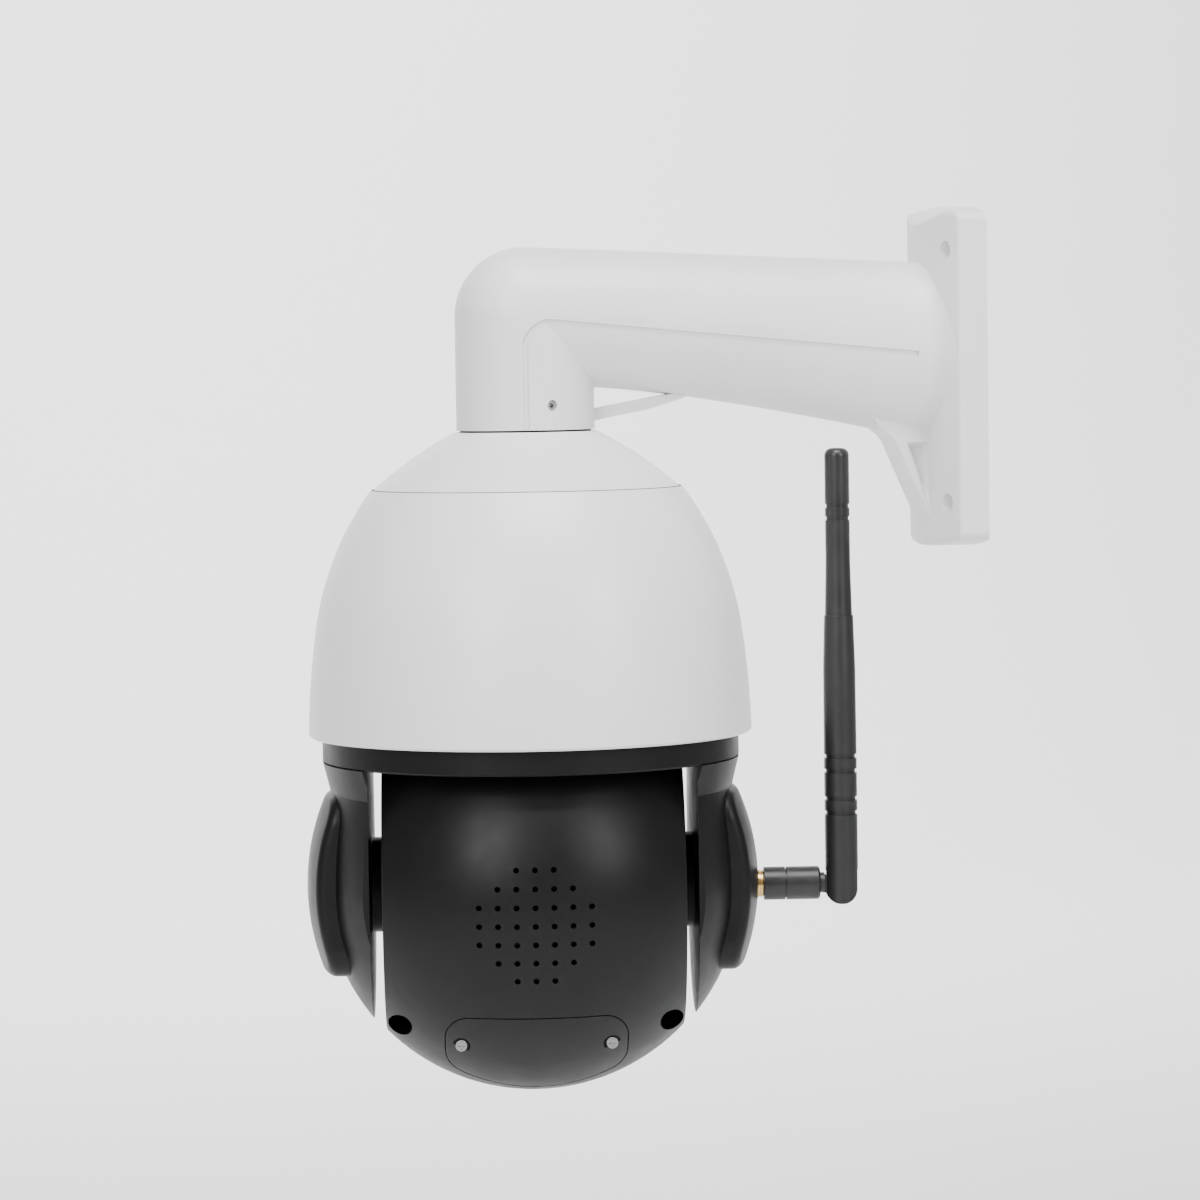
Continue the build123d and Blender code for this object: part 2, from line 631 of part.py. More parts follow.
# ---------------------------------------------------------------- aerial
with BuildPart() as antenna_collar:
    with BuildSketch(Plane.XZ) as collar_profile:
        with BuildLine():
            steps = (
                (97.5, 3.25), (97.5, 7.0), (106.4, 7.0), (106.4, 6.2), (107.0, 6.2), (107.0, 7.0),
                (120.4, 7.0), (121.2, 6.2), (121.2, 4.3), (123.1, 4.3), (123.1, 0), (103.0, 0), (103.0, 3.25),
            )
            Polyline(*[(x, AERIAL_Z + r) for x, r in steps], close=True)
        make_face()
    revolve(axis=Axis((0, 0, AERIAL_Z), (1, 0, 0)))
    with BuildSketch(Plane.XZ.offset(-2.4)):
        with BuildLine():
            upper = Line((122.0, AERIAL_Z + 3.4), (AERIAL_PIN_X - 0.5, AERIAL_PIN_Z + 5.5))
            round_end = RadiusArc(upper @ 1, (AERIAL_PIN_X - 0.5, AERIAL_PIN_Z - 5.5), 5.52)
            Polyline(round_end @ 1, (122.0, AERIAL_Z - 3.4), upper @ 0)
        make_face()
    extrude(amount=4.8)
    forward(1.5, -3, 3, at=(AERIAL_PIN_X, AERIAL_PIN_Z), mode=Mode.SUBTRACT)

with BuildPart() as antenna_pin:
    forward(1.5, -6.0, 6.0, at=(AERIAL_PIN_X, AERIAL_PIN_Z))

# heights above the whip's foot where its outline changes: (height, radius)
WHIP_OUTLINE = (
    (0.0, WHIP_R), (37.4, WHIP_R), (37.4, WHIP_R - 0.7), (39.2, WHIP_R - 0.7), (39.2, WHIP_R),
    (43.5, WHIP_R), (43.5, WHIP_R - 0.7), (45.2, WHIP_R - 0.7), (45.2, WHIP_R),
    (55.1, WHIP_R), (55.1, WHIP_R - 0.7), (56.9, WHIP_R - 0.7), (56.9, WHIP_R),
    (61.3, WHIP_R), (61.3, WHIP_R - 0.7), (63.1, WHIP_R - 0.7), (63.1, WHIP_R),
    (100.0, WHIP_R - 0.15), (121.6, 6.15), (121.6, 5.75), (144.0, 5.2), (161.7, 5.2),
    (161.7, 4.7), (163.4, 4.7), (163.4, 5.2), (166.9, 5.2), (166.9, 4.7), (168.6, 4.7), (168.6, 5.2),
)
WHIP_FOOT = AERIAL_PIN_Z - KNUCKLE_R

with BuildPart() as antenna_whip:
    with BuildSketch(Plane.XZ):
        with BuildLine():
            outline = [(AERIAL_X + r, WHIP_FOOT + h) for h, r in WHIP_OUTLINE]
            Polyline(*outline, (AERIAL_X + 5.2, WHIP_TOP), (AERIAL_X, WHIP_TOP), (AERIAL_X, WHIP_FOOT), close=True)
        make_face()
    revolve(axis=Axis((AERIAL_X, 0, 0), (0, 0, 1)))
    fillet(antenna_whip.edges().sort_by(Axis.Z)[-1], 3.2)
    # rounded knuckle, with a fork that straddles the collar's tongue
    with BuildSketch(Plane.XZ.offset(-10)):
        with Locations((AERIAL_PIN_X, AERIAL_PIN_Z)):
            Circle(KNUCKLE_R)
        with Locations((AERIAL_X + WHIP_R - KNUCKLE_R - 0.4, AERIAL_PIN_Z)):
            Circle(KNUCKLE_R)
        with BuildLine():
            left = AERIAL_PIN_X - KNUCKLE_R
            right = AERIAL_X + WHIP_R
            Polyline(
                (left, AERIAL_PIN_Z), (left, AERIAL_PIN_Z + 9), (left - 3, AERIAL_PIN_Z + 12),
                (left - 3, WHIP_TOP + 5), (right + 1, WHIP_TOP + 5), (right + 1, AERIAL_PIN_Z), close=True,
            )
        make_face()
    extrude(amount=20, mode=Mode.INTERSECT)
    block((110, -2.55, -230), (145, 2.55, AERIAL_PIN_Z + 7.4), Mode.SUBTRACT)
    forward(1.56, -6.1, 6.1, at=(AERIAL_PIN_X, AERIAL_PIN_Z), mode=Mode.SUBTRACT)


# ---------------------------------------------------------------- camera ball
def cover_outline(grow=0.0):
    """Outline of the service cover seen from behind: straight top, rounded shoulders, bowed lower edge."""
    half = SERVICE_HALF
    top = BALL_Z + SERVICE_TOP
    foot = BALL_Z + SERVICE_FOOT
    hip = foot + SERVICE_HIP_RISE
    # radius of the lower edge that runs smoothly into the two toes
    span = 2 * half * SERVICE_TOE_R - half ** 2 - SERVICE_HIP_RISE ** 2
    bow_r = span / (2 * (SERVICE_TOE_R - SERVICE_HIP_RISE))
    lean = math.atan2(bow_r - SERVICE_HIP_RISE, half - SERVICE_TOE_R)
    toe_x = half - SERVICE_TOE_R
    meet = (toe_x + SERVICE_TOE_R * math.cos(lean), hip - SERVICE_TOE_R * math.sin(lean))
    mid = (toe_x + SERVICE_TOE_R * math.cos(lean / 2), hip - SERVICE_TOE_R * math.sin(lean / 2))
    with BuildLine() as rim:
        shelf = Line((-half + 10, top), (half - 10, top))
        right = ThreePointArc(shelf @ 1, (half - 2.93, top - 2.93), (half, top - 10))
        drop = Line(right @ 1, (half, hip))
        toe = ThreePointArc(drop @ 1, mid, meet)
        bow = ThreePointArc(toe @ 1, (0, foot), (-meet[0], meet[1]))
        heel = ThreePointArc(bow @ 1, (-mid[0], mid[1]), (-half, hip))
        rise = Line(heel @ 1, (-half, top - 10))
        ThreePointArc(rise @ 1, (-half + 2.93, top - 2.93), shelf @ 0)
    make_face(rim.line)
    if grow:
        offset(amount=grow, mode=Mode.REPLACE)


def speaker_hole_places():
    """Centres of the speaker holes, in rows that fill a circle."""
    rows = (3, 5, 7, 7, 7, 5, 3)
    for row, count in enumerate(rows):
        for column in range(count):
            yield ((column - (count - 1) / 2) * HOLE_PITCH, BALL_Z + SPEAKER_Z + (3 - row) * HOLE_PITCH)


# hollow ball with two flat sides and a trunnion hole in each, turned about the tilt axis
with BuildPart() as ball_skin:
    with BuildSketch(Plane.XZ) as skin_profile:
        with BuildLine():
            flat_r = math.sqrt(BALL_R ** 2 - BALL_HALF ** 2)
            inner_half = BALL_HALF - BALL_WALL
            inner_r = BALL_R - BALL_WALL
            inner_flat_r = math.sqrt(inner_r ** 2 - inner_half ** 2)
            outside = ThreePointArc(
                (-BALL_HALF, BALL_Z + flat_r), (0, BALL_Z + BALL_R), (BALL_HALF, BALL_Z + flat_r)
            )
            inside = ThreePointArc(
                (inner_half, BALL_Z + inner_flat_r), (0, BALL_Z + inner_r), (-inner_half, BALL_Z + inner_flat_r)
            )
            Polyline(outside @ 1, (BALL_HALF, BALL_Z + 11), (inner_half, BALL_Z + 11), inside @ 0)
            Polyline(inside @ 1, (-inner_half, BALL_Z + 11), (-BALL_HALF, BALL_Z + 11), outside @ 0)
        make_face()
        fillet(skin_profile.vertices().sort_by(Axis.X)[:2].sort_by(Axis.Y)[-1], 1.2)
        fillet(skin_profile.vertices().sort_by(Axis.X)[-2:].sort_by(Axis.Y)[-1], 1.2)
    revolve(axis=Axis(BALL_CENTRE, (1, 0, 0)))

# thicker wall under the service cover
with BuildPart() as cover_seat:
    with BuildSketch(Plane.XZ.offset(PRISM_START)):
        cover_outline(4)
    extrude(amount=80)
    with Locations(BALL_CENTRE):
        Sphere(BALL_R - 1, mode=Mode.INTERSECT)
        Sphere(BALL_R - SERVICE_THICK - 3, mode=Mode.SUBTRACT)

with BuildPart() as cover_recess:
    with BuildSketch(Plane.XZ.offset(PRISM_START)):
        cover_outline(0.45)
    extrude(amount=80)
    with Locations(BALL_CENTRE):
        Sphere(BALL_R - SERVICE_THICK - 0.6, mode=Mode.SUBTRACT)

# posts around the two long shell screws, kept inside the ball's skin
with BuildPart() as screw_posts:
    for side in (-1, 1):
        forward(7.0, -60, SPLIT_Y, at=(side * POCKET_X, BALL_Z + POCKET_Z))
        forward(5.0, SPLIT_Y, 37, at=(side * POCKET_X, BALL_Z + POCKET_Z))
    with Locations(BALL_CENTRE):
        Sphere(BALL_R - 0.5, mode=Mode.INTERSECT)
    block((-BALL_HALF + 0.5, -90, -320), (BALL_HALF - 0.5, 90, -100), Mode.INTERSECT)

# stepped bores for the shell screws, and the holes of the cover screws
with BuildPart() as screw_bores:
    for side in (-1, 1):
        spot = (side * POCKET_X, BALL_Z + POCKET_Z)
        forward(5.1, -90, 10, at=spot)
        forward(1.7, 9, SPLIT_Y + 1, at=spot)
        forward(1.5, -90, -20, at=(side * SCREW_X, BALL_Z + SCREW_Z))

with BuildPart() as rear_shell:
    add(ball_skin.part)
    block((-100, SPLIT_Y, -320), (100, 120, -100), Mode.SUBTRACT)
    with BuildSketch(Plane.XZ.offset(60)):
        with Locations(*speaker_hole_places()):
            Circle(1.2)
    extrude(amount=40, mode=Mode.SUBTRACT)
    add(screw_posts.part)
    block((-100, SPLIT_Y, -320), (100, 120, -100), Mode.SUBTRACT)
    add(cover_seat.part)
    add(cover_recess.part, mode=Mode.SUBTRACT)
    with BuildSketch(Plane.XZ.offset(PRISM_START)):
        with Locations((0, BALL_Z - 64)):
            RectangleRounded(46, 22, 5)
    extrude(amount=80, mode=Mode.SUBTRACT)
    add(screw_bores.part, mode=Mode.SUBTRACT)

# round front wall that holds the window
with BuildPart() as front_wall:
    forward(60, FRONT_FACE - 5.2, FRONT_FACE)
    with Locations(BALL_CENTRE):
        Sphere(BALL_R - 0.5, mode=Mode.INTERSECT)

with BuildPart() as front_shell:
    add(ball_skin.part)
    add(front_wall.part)
    add(screw_posts.part)
    block((-100, -120, -320), (100, SPLIT_Y, -100), Mode.SUBTRACT)
    block((-100, FRONT_FACE, -320), (100, 120, -100), Mode.SUBTRACT)
    forward(42, FRONT_FACE - 10, FRONT_FACE + 1, mode=Mode.SUBTRACT)
    forward(WINDOW_R + 0.2, FRONT_FACE - 2.2, FRONT_FACE + 1, mode=Mode.SUBTRACT)
    for side in (-1, 1):
        forward(1.5, SPLIT_Y - 1, 36, at=(side * POCKET_X, BALL_Z + POCKET_Z), mode=Mode.SUBTRACT)

with BuildPart() as shell_screws:
    for side in (-1, 1):
        spot = (side * POCKET_X, BALL_Z + POCKET_Z)
        forward(2.9, 7.8, 10, at=spot)
        forward(1.5, 10, 33, at=spot)
        with Locations((spot[0], 8.2, spot[1])):
            Box(0.8, 1.4, 3.6, mode=Mode.SUBTRACT)
            Box(3.6, 1.4, 0.8, mode=Mode.SUBTRACT)

with BuildPart() as service_cover:
    with BuildSketch(Plane.XZ.offset(PRISM_START)):
        cover_outline(0)
    extrude(amount=92)
    with Locations(BALL_CENTRE):
        Sphere(BALL_R, mode=Mode.INTERSECT)
        Sphere(BALL_R - SERVICE_THICK, mode=Mode.SUBTRACT)
    for side in (-1, 1):
        spot = (side * SCREW_X, BALL_Z + SCREW_Z)
        depth = math.sqrt(BALL_R ** 2 - SCREW_X ** 2 - SCREW_Z ** 2)
        forward(3.75, -90, -depth + 1.0, at=spot, mode=Mode.SUBTRACT)
        forward(1.7, -90, 0, at=spot, mode=Mode.SUBTRACT)

with BuildPart() as cover_gasket:
    with BuildSketch(Plane.XZ.offset(PRISM_START)):
        cover_outline(-1.0)
        with Locations((0, BALL_Z - 64)):
            RectangleRounded(48, 24, 6, mode=Mode.SUBTRACT)
        with Locations((SCREW_X, BALL_Z + SCREW_Z), (-SCREW_X, BALL_Z + SCREW_Z)):
            Circle(2.0, mode=Mode.SUBTRACT)
    extrude(amount=92)
    with Locations(BALL_CENTRE):
        Sphere(BALL_R - SERVICE_THICK, mode=Mode.INTERSECT)
        Sphere(BALL_R - SERVICE_THICK - 0.6, mode=Mode.SUBTRACT)

with BuildPart() as cover_screws:
    for side in (-1, 1):
        spot = (side * SCREW_X, BALL_Z + SCREW_Z)
        depth = math.sqrt(BALL_R ** 2 - SCREW_X ** 2 - SCREW_Z ** 2)
        forward(2.35, -depth, -depth + 1.0, at=spot)
        forward(1.5, -depth + 1.0, -depth + 9.0, at=spot)
        with Locations((spot[0], -depth, spot[1])):
            Box(0.7, 1.4, 3.2, mode=Mode.SUBTRACT)
            Box(3.2, 1.4, 0.7, mode=Mode.SUBTRACT)


def trunnion(side, shaft_end):
    """Flanged hub on the ball's flat side, with a hollow shaft through the ear."""
    sideways(TRUNNION_R, side * BALL_HALF, side * (EAR_IN - 0.4))
    sideways(10.9, side * (BALL_HALF - 6), side * BALL_HALF)
    sideways(TILT_SHAFT_R, side * (EAR_IN - 0.4), side * shaft_end)
    sideways(4.5, side * (BALL_HALF - 7), side * (shaft_end + 1), mode=Mode.SUBTRACT)


with BuildPart() as left_trunnion:
    trunnion(-1, 88.5)

with BuildPart() as right_trunnion:
    trunnion(1, 78.0)

with BuildPart() as tilt_gear:
    with BuildSketch(Plane.YZ.offset(-86.6)):
        with Locations((0, BALL_Z)):
            gear_face(TILT_MODULE, TILT_GEAR_TEETH, turn=90)
            Circle(TILT_SHAFT_R, mode=Mode.SUBTRACT)
            with PolarLocations(12.2, 5):
                Circle(2.2, mode=Mode.SUBTRACT)
    extrude(amount=3.6)

with BuildPart() as shaft_clips:
    sideways(10, -87.5, -86.6, hole=TILT_SHAFT_R)
    sideways(10, EAR_FLOOR + 1.7, EAR_FLOOR + 2.7, hole=TILT_SHAFT_R)

with BuildPart() as module_frame:
    with BuildSketch(Plane.XZ.offset(-SPLIT_Y)):
        with Locations((0, BALL_Z)):
            Circle(79.5)
            Rectangle(98, 170, mode=Mode.INTERSECT)
            Rectangle(46.4, 42.4, mode=Mode.SUBTRACT)
            with Locations((0, 40), (0, -40)):
                SlotOverall(50, 14, mode=Mode.SUBTRACT)
    extrude(amount=2)

with BuildPart() as zoom_housing:
    block((-23, 2, BALL_Z - 21), (23, 52, BALL_Z + 21))
    fillet(zoom_housing.edges().filter_by(Axis.Y), 3)
    forward(16.5, 52, 65.8)
    forward(12.4, 4, 66, mode=Mode.SUBTRACT)

with BuildPart() as sensor_board:
    block((-20, 0.4, BALL_Z - 18), (20, 2, BALL_Z + 18))
    block((-8, -1, BALL_Z + 4), (8, 0.4, BALL_Z + 14))

with BuildPart() as front_lens:
    forward(12.4, 60.5, 65.0)
    with Locations((0, 65.0 - 22.0, BALL_Z)):
        Sphere(25.0, mode=Mode.INTERSECT)


def lens_group(start, length):
    """A ring with a biconvex glass in it, sliding in the zoom housing's bore."""
    forward(12.33, start, start + length, hole=9)
    forward(9, start + length / 2 - 1.5, start + length / 2 + 1.5)


with BuildPart() as focus_lens_group:
    lens_group(12, 8)

with BuildPart() as zoom_lens_group:
    lens_group(34, 10)

with BuildPart() as lamp_board:
    forward(41, 61.0, 62.6, hole=18)

with BuildPart() as infrared_lamps:
    with BuildSketch(Plane.XZ.offset(-62.6)):
        with Locations((0, BALL_Z)):
            with PolarLocations(31, 8, start_angle=22.5):
                Circle(4)
    extrude(amount=-1.5)
    with BuildSketch(Plane.XZ.offset(-64.1)):
        with Locations((0, BALL_Z)):
            with PolarLocations(31, 8, start_angle=22.5):
                Circle(3.3)
    extrude(amount=-3, taper=18)

with BuildPart() as white_lamps:
    with BuildSketch(Plane.XZ.offset(-62.6)):
        with Locations((0, BALL_Z)):
            with PolarLocations(31, 4):
                RectangleRounded(6.5, 6.5, 1.5)
    extrude(amount=-1.8)

with BuildPart() as window_glass:
    forward(WINDOW_R, FRONT_FACE - 2.2, FRONT_FACE - 0.1)

with BuildPart() as window_ring:
    forward(48.6, FRONT_FACE, FRONT_FACE + 1.4, hole=43)
    fillet(window_ring.edges().filter_by(GeomType.CIRCLE).group_by(Axis.Y)[-1], 0.5)

with BuildPart() as speaker:
    forward(26, -75, -72, hole=21, at=(0, BALL_Z + SPEAKER_Z))
    forward(23, -72, -66, at=(0, BALL_Z + SPEAKER_Z))
    forward(14, -66, -58, at=(0, BALL_Z + SPEAKER_Z))
    forward(21, -74, -72, at=(0, BALL_Z + SPEAKER_Z))

with BuildPart() as speaker_gasket:
    forward(26, -76.2, -75, hole=24, at=(0, BALL_Z + SPEAKER_Z))

CARD_DIR = (0, -math.cos(math.radians(47)), -math.sin(math.radians(47)))
CARD_RADIUS = 70.0
card_plane = Plane(
    origin=(0, CARD_RADIUS * CARD_DIR[1], BALL_Z + CARD_RADIUS * CARD_DIR[2]), x_dir=(1, 0, 0), z_dir=CARD_DIR
)

with BuildPart() as card_board:
    with BuildSketch(card_plane):
        Rectangle(40, 24)
    extrude(amount=1.6)
    with BuildSketch(card_plane.offset(1.6)):
        with Locations((-6, 0)):
            Rectangle(18, 16)
    extrude(amount=2.2)
    with BuildSketch(card_plane.offset(1.6)):
        with Locations((13, 0)):
            Rectangle(6.2, 6.2)
            Circle(1.8, mode=Mode.SUBTRACT)
    extrude(amount=3.4)

with BuildPart() as reset_button:
    with BuildSketch(card_plane.offset(2.6)):
        with Locations((13, 0)):
            Circle(1.73)
    extrude(amount=4.4)


# ---------------------------------------------------------------- labels and files
FIXED_PIECES = {
    "wall_bracket": wall_bracket,
    "bracket_set_screw": bracket_set_screw,
}
AXIS_PIECES = {
    "neck_adapter": neck_adapter,
    "neck_gasket": neck_gasket,
    "neck_nut": neck_nut,
    "cap_shell": cap_shell,
    "shell_seal": shell_seal,
    "cap_screws": cap_screws,
    "dome_shell": dome_shell,
    "base_plate": base_plate,
    "base_screws": base_screws,
    "pan_motor": pan_motor,
    "pan_pinion": pan_pinion,
    "pan_bearing_outer": pan_bearing_outer,
    "main_board": main_board,
    "board_standoffs": board_standoffs,
    "slip_ring_stator": slip_ring_stator,
    "pan_gear": pan_gear,
    "pan_bearing_inner": pan_bearing_inner,
    "pan_bearing_balls": pan_bearing_balls,
    "slip_ring_rotor": slip_ring_rotor,
}
HEAD_PIECES = {
    "pan_hub": pan_hub,
    "hub_screws": hub_screws,
    "yoke_frame": yoke_frame,
    "left_ear_cover": ear_covers["left_ear_cover"],
    "right_ear_cover": ear_covers["right_ear_cover"],
    "tilt_bushes": tilt_bushes,
    "tilt_motor": tilt_motor,
    "tilt_pinion": tilt_pinion,
    "antenna_jack": antenna_jack,
    "jack_washer": jack_washer,
    "jack_nut": jack_nut,
    "antenna_collar": antenna_collar,
    "antenna_pin": antenna_pin,
    "antenna_whip": antenna_whip,
    "rear_shell": rear_shell,
    "front_shell": front_shell,
    "shell_screws": shell_screws,
    "service_cover": service_cover,
    "cover_gasket": cover_gasket,
    "cover_screws": cover_screws,
    "left_trunnion": left_trunnion,
    "right_trunnion": right_trunnion,
    "tilt_gear": tilt_gear,
    "shaft_clips": shaft_clips,
    "module_frame": module_frame,
    "zoom_housing": zoom_housing,
    "sensor_board": sensor_board,
    "front_lens": front_lens,
    "focus_lens_group": focus_lens_group,
    "zoom_lens_group": zoom_lens_group,
    "lamp_board": lamp_board,
    "infrared_lamps": infrared_lamps,
    "white_lamps": white_lamps,
    "window_glass": window_glass,
    "window_ring": window_ring,
    "speaker": speaker,
    "speaker_gasket": speaker_gasket,
    "card_board": card_board,
    "reset_button": reset_button,
}

for piece in AXIS_PIECES.values():
    piece.part = piece.part.moved(Location((-REACH, 0, 0)))
for piece in HEAD_PIECES.values():
    piece.part = piece.part.moved(HEAD_PLACE)

os.makedirs("parts", exist_ok=True)
for name, piece in {**FIXED_PIECES, **AXIS_PIECES, **HEAD_PIECES}.items():
    piece.part.label = name
    export_step(piece.part, f"parts/{name}.step")
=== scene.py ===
import json
import math

import bmesh
import bpy
from mathutils import Matrix, Vector


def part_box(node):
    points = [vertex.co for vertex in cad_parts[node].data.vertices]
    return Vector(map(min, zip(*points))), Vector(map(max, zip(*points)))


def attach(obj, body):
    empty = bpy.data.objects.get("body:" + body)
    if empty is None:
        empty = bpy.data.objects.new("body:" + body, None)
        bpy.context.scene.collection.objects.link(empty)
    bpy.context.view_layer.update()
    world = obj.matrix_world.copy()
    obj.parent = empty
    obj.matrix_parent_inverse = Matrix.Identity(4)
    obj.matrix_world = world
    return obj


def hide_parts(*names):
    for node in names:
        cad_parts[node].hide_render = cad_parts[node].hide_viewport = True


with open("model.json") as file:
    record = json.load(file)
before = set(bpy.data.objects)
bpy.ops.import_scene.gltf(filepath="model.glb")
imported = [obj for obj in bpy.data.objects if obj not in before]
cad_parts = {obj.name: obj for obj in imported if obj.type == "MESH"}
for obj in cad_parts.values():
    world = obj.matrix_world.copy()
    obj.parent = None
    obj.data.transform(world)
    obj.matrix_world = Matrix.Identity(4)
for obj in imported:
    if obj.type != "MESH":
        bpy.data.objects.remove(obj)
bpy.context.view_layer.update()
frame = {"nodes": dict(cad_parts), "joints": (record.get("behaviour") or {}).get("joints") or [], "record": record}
nodes = frame["nodes"]
joints = {joint["name"]: joint for joint in frame["joints"]}

# places read from the frame
PAN = Vector(joints["pan"]["pos_m"])
BALL = Vector(joints["tilt"]["pos_m"])
TILT_AXIS = Vector(joints["tilt"]["axis"]).normalized()
UP = Vector((0, 0, 1))
LENS_WAY = UP.cross(TILT_AXIS).normalized()

# camera
CAMERA_PLACE = Vector((-0.505, -1.7785, 0.0085))
CAMERA_HEADING = math.radians(11.0)
CAMERA_PITCH = math.radians(-3.17)
CAMERA_ROLL = math.radians(0.9)
LENS_MM = 129.0
SENSOR_MM = 36.0
NEAREST, FARTHEST = 0.05, 30.0


def make_camera():
    """A long lens at the height of the arm, turned a little towards the wall."""
    ahead = Vector((
        math.sin(CAMERA_HEADING) * math.cos(CAMERA_PITCH),
        math.cos(CAMERA_HEADING) * math.cos(CAMERA_PITCH),
        math.sin(CAMERA_PITCH),
    ))
    right = ahead.cross(UP).normalized()
    above = right.cross(ahead).normalized()
    level_right = right * math.cos(CAMERA_ROLL) - above * math.sin(CAMERA_ROLL)
    level_up = above * math.cos(CAMERA_ROLL) + right * math.sin(CAMERA_ROLL)
    data = bpy.data.cameras.new("camera")
    data.lens = LENS_MM
    data.sensor_width = SENSOR_MM
    data.clip_start = NEAREST
    data.clip_end = FARTHEST
    camera = bpy.data.objects.new("camera", data)
    turn = Matrix((level_right, level_up, -ahead)).transposed()
    camera.matrix_world = Matrix.Translation(CAMERA_PLACE) @ turn.to_4x4()
    bpy.context.scene.collection.objects.link(camera)
    bpy.context.scene.camera = camera


# materials
class Finish:
    """A principled material with small helpers for colour, roughness and surface relief."""

    def __init__(self, name, color, roughness, metallic=0.0, **sockets):
        self.material = bpy.data.materials.new(name)
        self.material.use_nodes = True
        self.nodes = self.material.node_tree.nodes
        self.links = self.material.node_tree.links
        self.shader = self.nodes["Principled BSDF"]
        self.color = color
        self.shader.inputs["Base Color"].default_value = (*color, 1.0)
        self.shader.inputs["Roughness"].default_value = roughness
        self.shader.inputs["Metallic"].default_value = metallic
        for socket, value in sockets.items():
            self.shader.inputs[socket.replace("_", " ")].default_value = value
        self.place = self.nodes.new("ShaderNodeTexCoord").outputs["Object"]
        self.last_normal = None

    def noise(self, scale, detail=4.0, stretch=None):
        """A noise field over the object's own place, in features per metre."""
        source = self.place
        if stretch:
            mapping = self.nodes.new("ShaderNodeMapping")
            mapping.inputs["Scale"].default_value = stretch
            self.links.new(self.place, mapping.inputs["Vector"])
            source = mapping.outputs["Vector"]
        field = self.nodes.new("ShaderNodeTexNoise")
        field.inputs["Scale"].default_value = scale
        field.inputs["Detail"].default_value = detail
        self.links.new(source, field.inputs["Vector"])
        return field.outputs["Fac"]

    def spread(self, field, low, high, low_at=0.3, high_at=0.7):
        """Maps a field onto a range of numbers."""
        ramp = self.nodes.new("ShaderNodeMapRange")
        ramp.inputs["From Min"].default_value = low_at
        ramp.inputs["From Max"].default_value = high_at
        ramp.inputs["To Min"].default_value = low
        ramp.inputs["To Max"].default_value = high
        self.links.new(field, ramp.inputs["Value"])
        return ramp.outputs["Result"]

    def tint(self, field, other, share=1.0):
        """Blends the base colour towards another colour by a field."""
        mix = self.nodes.new("ShaderNodeMix")
        mix.data_type = "RGBA"
        mix.inputs["A"].default_value = (*self.color, 1.0)
        mix.inputs["B"].default_value = (*other, 1.0)
        self.links.new(self.spread(field, 0.0, share), mix.inputs["Factor"])
        self.links.new(mix.outputs["Result"], self.shader.inputs["Base Color"])

    def polish(self, field, low, high):
        """Varies the roughness by a field."""
        self.links.new(self.spread(field, low, high), self.shader.inputs["Roughness"])

    def relief(self, field, height, strength=1.0):
        """Raises the surface by a field, in metres; several can follow each other."""
        bump = self.nodes.new("ShaderNodeBump")
        bump.inputs["Strength"].default_value = strength
        bump.inputs["Distance"].default_value = height
        self.links.new(field, bump.inputs["Height"])
        if self.last_normal:
            self.links.new(self.last_normal, bump.inputs["Normal"])
        self.last_normal = bump.outputs["Normal"]
        self.links.new(self.last_normal, self.shader.inputs["Normal"])


def white_powder_coat():
    """Satin powder coat on cast metal: fine orange peel, faint dust in the colour."""
    finish = Finish("white_powder_coat", (0.805, 0.805, 0.805), 0.38, Specular_IOR_Level=0.5)
    finish.tint(finish.noise(22, 3), (0.765, 0.765, 0.77), 0.7)
    finish.polish(finish.noise(60, 4), 0.34, 0.44)
    finish.relief(finish.noise(420, 2), 0.00012, 0.35)
    finish.relief(finish.noise(1500, 2), 0.00003, 0.25)
    return finish.material


def white_moulded_plastic():
    """Smooth white housing plastic with a faint texture."""
    finish = Finish(
        "white_moulded_plastic", (0.815, 0.815, 0.82), 0.34, Specular_IOR_Level=0.5,
    )
    finish.tint(finish.noise(9, 3), (0.78, 0.78, 0.785), 0.6)
    finish.polish(finish.noise(45, 4), 0.30, 0.39)
    finish.relief(finish.noise(900, 2), 0.00004, 0.3)
    return finish.material


def black_moulded_plastic():
    """Satin black plastic with a fine spark-eroded grain."""
    finish = Finish(
        "black_moulded_plastic", (0.0030, 0.0030, 0.0034), 0.40, Specular_IOR_Level=0.24,
    )
    finish.tint(finish.noise(14, 4), (0.0046, 0.0046, 0.0050), 0.8)
    finish.polish(finish.noise(70, 4), 0.37, 0.45)
    finish.relief(finish.noise(2600, 2), 0.00003, 0.35)
    return finish.material


def aerial_plastic():
    """Slightly softer black of the aerial."""
    finish = Finish("aerial_plastic", (0.010, 0.010, 0.011), 0.40, Specular_IOR_Level=0.5)
    finish.tint(finish.noise(30, 3), (0.014, 0.014, 0.015), 0.7)
    finish.polish(finish.noise(120, 3), 0.34, 0.44)
    finish.relief(finish.noise(3000, 2), 0.00002, 0.3)
    return finish.material


def turned_metal(name, color, roughness, fine):
    """Turned or drawn metal with fine tool marks."""
    finish = Finish(name, color, roughness, metallic=1.0)
    finish.tint(finish.noise(70, 3), tuple(0.82 * c for c in color), 0.6)
    finish.polish(finish.noise(260, 4), roughness * 0.8, roughness * 1.35)
    finish.relief(finish.noise(fine, 3, stretch=(1.0, 1.0, 6.0)), 0.00002, 0.3)
    return finish.material


def plain_plastic(name, color, roughness, grain):
    """Inner plastic parts: mild colour drift and moulding grain."""
    finish = Finish(name, color, roughness)
    finish.tint(finish.noise(40, 3), tuple(0.85 * c for c in color), 0.6)
    finish.polish(finish.noise(150, 3), roughness * 0.9, roughness * 1.15)
    finish.relief(finish.noise(grain, 2), 0.00003, 0.3)
    return finish.material


